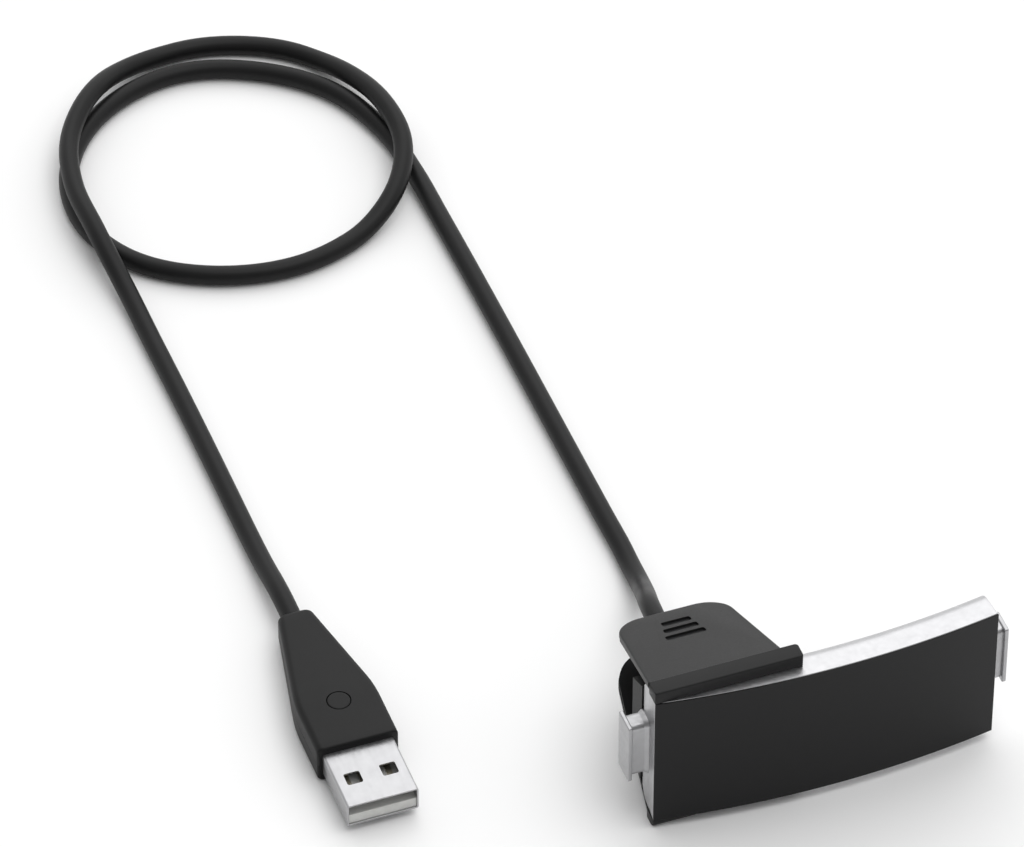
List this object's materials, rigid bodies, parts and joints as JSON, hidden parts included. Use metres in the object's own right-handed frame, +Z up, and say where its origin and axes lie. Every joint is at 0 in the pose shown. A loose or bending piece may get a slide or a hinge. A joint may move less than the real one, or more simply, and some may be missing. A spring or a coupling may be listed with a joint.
{
  "type": "fitness tracker in charging clip",
  "caption": "Curved fitness tracker module with strap lugs, standing in a spring charging clip on a looped USB-A lead.",
  "frame": {"origin": "on the surface the object stands on, midway along the tracker and 11.5 mm behind the two end corners of its glass front", "axes": "+X along the tracker from the clip end to the free end, +Y to the rear, out of the tracker's back and along the lead where it leaves the clip, +Z up"},
  "size_m": [0.1083, 0.2061, 0.0307],
  "materials": {
    "case_metal": "satin",
    "lug_metal": "satin",
    "cover_glass": "polished black glass",
    "back_plastic": "fine matte",
    "seal_rubber": "matte",
    "clip_plastic": "fine moulded texture",
    "cord_jacket": "smooth matte",
    "plug_plastic": "fine moulded texture",
    "plug_metal": "plated",
    "pin_steel": "plain",
    "gold_contact": "gold plated",
    "tongue_plastic": "moulded",
    "circuit_board": "solder resist",
    "battery_foil": "foil",
    "wire_jacket": "smooth"
  },
  "bodies": {
    "clip": {"block_face": "clip_plastic", "block_body": "clip_plastic", "block_screws": "pin_steel", "contact_board": "circuit_board", "pogo_barrels": "gold_contact", "upper_hinge_pin": "pin_steel", "lower_hinge_pin": "pin_steel", "upper_spring": "pin_steel", "lower_spring": "pin_steel", "cord_gland": "cord_jacket", "clip_leads": "wire_jacket", "cord": "cord_jacket", "plug_upper_shell": "plug_plastic", "plug_lower_shell": "plug_plastic", "plug_board": "circuit_board", "reset_switch": "pin_steel", "usb_shell": "plug_metal", "usb_tongue": "tongue_plastic", "usb_contacts": "gold_contact", "plug_leads": "wire_jacket", "cord_crimp": "pin_steel"},
    "upper_lever": {"upper_lever_cover": "clip_plastic", "upper_lever_frame": "clip_plastic"},
    "lower_lever": {"lower_lever_cover": "clip_plastic", "lower_lever_frame": "clip_plastic"},
    "tracker": {"tracker_case": "case_metal", "front_glass": "cover_glass", "glass_seal": "seal_rubber", "display_panel": "cover_glass", "main_board": "circuit_board", "battery": "battery_foil", "vibration_motor": "pin_steel", "back_cover": "back_plastic", "charge_pads": "gold_contact", "left_lug": "lug_metal", "right_lug": "lug_metal", "lug_screws": "pin_steel"},
    "plunger_1": {"pogo_plunger_1": "gold_contact"},
    "plunger_2": {"pogo_plunger_2": "gold_contact"},
    "plunger_3": {"pogo_plunger_3": "gold_contact"},
    "plunger_4": {"pogo_plunger_4": "gold_contact"},
    "reset_button": {"reset_button": "plug_plastic"}
  },
  "joints": [
    {"name": "upper_lever_hinge", "type": "hinge", "parent": "clip", "child": "upper_lever", "pos_m": [-0.0177, -0.0021, 0.0226], "axis": [-1, 0, 0], "range_deg": [0, 7], "stiffness_Nm_per_rad": 0.02, "springref_deg": -8.59, "deforming": ["upper_spring"]},
    {"name": "lower_lever_hinge", "type": "hinge", "parent": "clip", "child": "lower_lever", "pos_m": [-0.0177, -0.0021, 0.0081], "axis": [1, 0, 0], "range_deg": [0, 7], "stiffness_Nm_per_rad": 0.02, "springref_deg": -8.59, "deforming": ["lower_spring"]},
    {"name": "tracker_release", "type": "slide", "parent": "clip", "child": "tracker", "axis": [0, -1, 0], "range_m": [0, 0.03]},
    {"name": "plunger_1_slide", "type": "slide", "parent": "clip", "child": "plunger_1", "axis": [0, 1, 0], "range_m": [0, 0.0005], "stiffness_N_per_m": 400, "springref_m": -0.0005},
    {"name": "plunger_2_slide", "type": "slide", "parent": "clip", "child": "plunger_2", "axis": [0, 1, 0], "range_m": [0, 0.0005], "stiffness_N_per_m": 400, "springref_m": -0.0005},
    {"name": "plunger_3_slide", "type": "slide", "parent": "clip", "child": "plunger_3", "axis": [0, 1, 0], "range_m": [0, 0.0005], "stiffness_N_per_m": 400, "springref_m": -0.0005},
    {"name": "plunger_4_slide", "type": "slide", "parent": "clip", "child": "plunger_4", "axis": [0, 1, 0], "range_m": [0, 0.0005], "stiffness_N_per_m": 400, "springref_m": -0.0005},
    {"name": "reset_button_press", "type": "slide", "parent": "clip", "child": "reset_button", "axis": [0, 0, -1], "range_m": [0, 0.0004], "stiffness_N_per_m": 1500, "springref_m": -0.0002}
  ]
}
